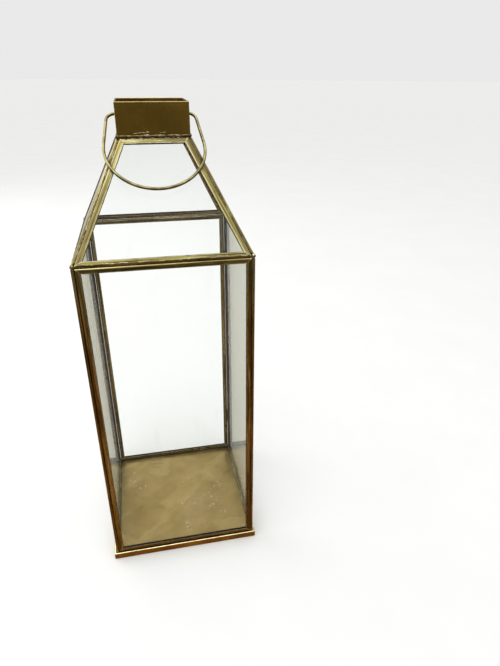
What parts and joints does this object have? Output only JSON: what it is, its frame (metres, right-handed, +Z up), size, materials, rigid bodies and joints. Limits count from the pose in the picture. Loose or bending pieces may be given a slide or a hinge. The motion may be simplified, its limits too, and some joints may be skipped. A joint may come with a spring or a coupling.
{
  "type": "hurricane candle lantern",
  "caption": "Tall square hurricane lantern: glass panes in mitred brass came, sloping glass roof, open square chimney with a swinging wire bail, and a hinged glass door at the rear.",
  "frame": {"origin": "centre of the base, on the plane that the lantern stands on", "axes": "+Z up through the chimney, -Y out of the front wall, +Y out of the door, +X to the right seen from the front"},
  "size_m": [0.183, 0.183, 0.5325],
  "materials": {
    "aged_brass_came": "aged satin brass, worn bright on the outer edges",
    "dark_brass_sheet": "dark aged brass with fine smudges",
    "dull_brass_sheet": "dull khaki brass with scratches and handling marks",
    "brass_wire": "satin drawn wire",
    "brass_solder": "lumpy brass-plated solder",
    "brass_hardware": "satin brass",
    "clear_glass": "clear flat glass with faint smears"
  },
  "bodies": {
    "lantern": {"base_tray": "dull_brass_sheet", "chimney": "dark_brass_sheet", "chimney_solder_bead": "brass_solder", "corner_solder_seams": "brass_solder", "eave_solder_knuckles": "brass_solder", "eave_solder_seams": "brass_solder", "floor_solder_seams": "brass_solder", "front_roof_bottom_came": "aged_brass_came", "front_roof_glass": "clear_glass", "front_roof_left_came": "aged_brass_came", "front_roof_right_came": "aged_brass_came", "front_roof_top_came": "aged_brass_came", "front_wall_bottom_came": "aged_brass_came", "front_wall_glass": "clear_glass", "front_wall_left_came": "aged_brass_came", "front_wall_right_came": "aged_brass_came", "front_wall_top_came": "aged_brass_came", "hip_solder_seams": "brass_solder", "left_roof_bottom_came": "aged_brass_came", "left_roof_glass": "clear_glass", "left_roof_left_came": "aged_brass_came", "left_roof_right_came": "aged_brass_came", "left_roof_top_came": "aged_brass_came", "left_wall_bottom_came": "aged_brass_came", "left_wall_glass": "clear_glass", "left_wall_left_came": "aged_brass_came", "left_wall_right_came": "aged_brass_came", "left_wall_top_came": "aged_brass_came", "lower_hinge_frame_leaf": "brass_hardware", "lower_hinge_pin": "brass_hardware", "rear_roof_bottom_came": "aged_brass_came", "rear_roof_glass": "clear_glass", "rear_roof_left_came": "aged_brass_came", "rear_roof_right_came": "aged_brass_came", "rear_roof_top_came": "aged_brass_came", "right_roof_bottom_came": "aged_brass_came", "right_roof_glass": "clear_glass", "right_roof_left_came": "aged_brass_came", "right_roof_right_came": "aged_brass_came", "right_roof_top_came": "aged_brass_came", "right_wall_bottom_came": "aged_brass_came", "right_wall_glass": "clear_glass", "right_wall_left_came": "aged_brass_came", "right_wall_right_came": "aged_brass_came", "right_wall_top_came": "aged_brass_came", "turn_button_rivet": "brass_hardware", "upper_hinge_frame_leaf": "brass_hardware", "upper_hinge_pin": "brass_hardware"},
    "door": {"door_bottom_came": "aged_brass_came", "door_glass": "clear_glass", "door_left_came": "aged_brass_came", "door_right_came": "aged_brass_came", "door_top_came": "aged_brass_came", "lower_hinge_door_leaf": "brass_hardware", "upper_hinge_door_leaf": "brass_hardware"},
    "bail": {"bail": "brass_wire"},
    "turn_button": {"turn_button": "brass_hardware"}
  },
  "joints": [
    {"name": "bail_swing", "type": "hinge", "parent": "lantern", "child": "bail", "pos_m": [0, 0, 0.5197], "axis": [-1, 0, 0], "range_deg": [0, 260]},
    {"name": "door_swing", "type": "hinge", "parent": "lantern", "child": "door", "pos_m": [0.08535, 0.09035, 0.2], "axis": [0, 0, -1], "range_deg": [0, 180]},
    {"name": "turn_button_turn", "type": "hinge", "parent": "lantern", "child": "turn_button", "pos_m": [-0.08725, 0.08955, 0.20065], "axis": [0, -1, 0], "continuous": true}
  ]
}
